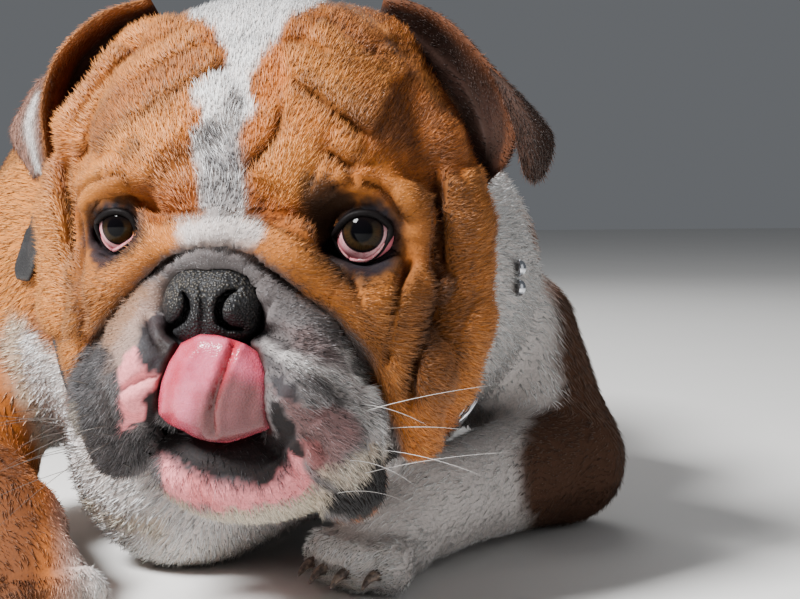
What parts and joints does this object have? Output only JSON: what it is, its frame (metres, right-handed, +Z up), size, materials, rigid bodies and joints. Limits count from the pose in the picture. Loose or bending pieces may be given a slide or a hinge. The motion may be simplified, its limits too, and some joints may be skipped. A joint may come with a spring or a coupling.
{
  "type": "english bulldog",
  "caption": "Life-size still model of an English bulldog lying on its chest, head turned and tongue over its nose, wearing a studded collar.",
  "frame": {"origin": "on the floor under the brisket, on the flat that the chest rests on", "axes": "+Z up, -Y the way the body faces, +X the dog's left side; +Y runs along the body toward the tail"},
  "size_m": [0.3747, 0.7009, 0.2688],
  "materials": {
    "coat_fawn": "short glossy coat",
    "coat_white": "short coat",
    "nose": "moist pebbled",
    "tongue": "wet",
    "eye": "clear and wet",
    "strap": "smooth",
    "fittings": "polished"
  },
  "bodies": {
    "root": {"head": "coat_fawn", "neck": "coat_white", "torso": "coat_fawn", "lower_jaw": "coat_white", "ear_left": "coat_fawn", "ear_right": "coat_fawn", "nose": "nose", "tongue": "tongue", "eye_left": "eye", "eye_right": "eye", "collar_strap": "strap", "collar_ring": "fittings", "collar_stud_1": "fittings", "collar_stud_2": "fittings", "foreleg_left": "coat_white", "foreleg_right": "coat_fawn", "forepaw_left": "coat_white", "forepaw_right": "coat_white", "hind_shank_left": "coat_fawn", "hind_shank_right": "coat_fawn", "hind_paw_left": "coat_white", "hind_paw_right": "coat_white", "tail": "coat_fawn"}
  },
  "joints": []
}
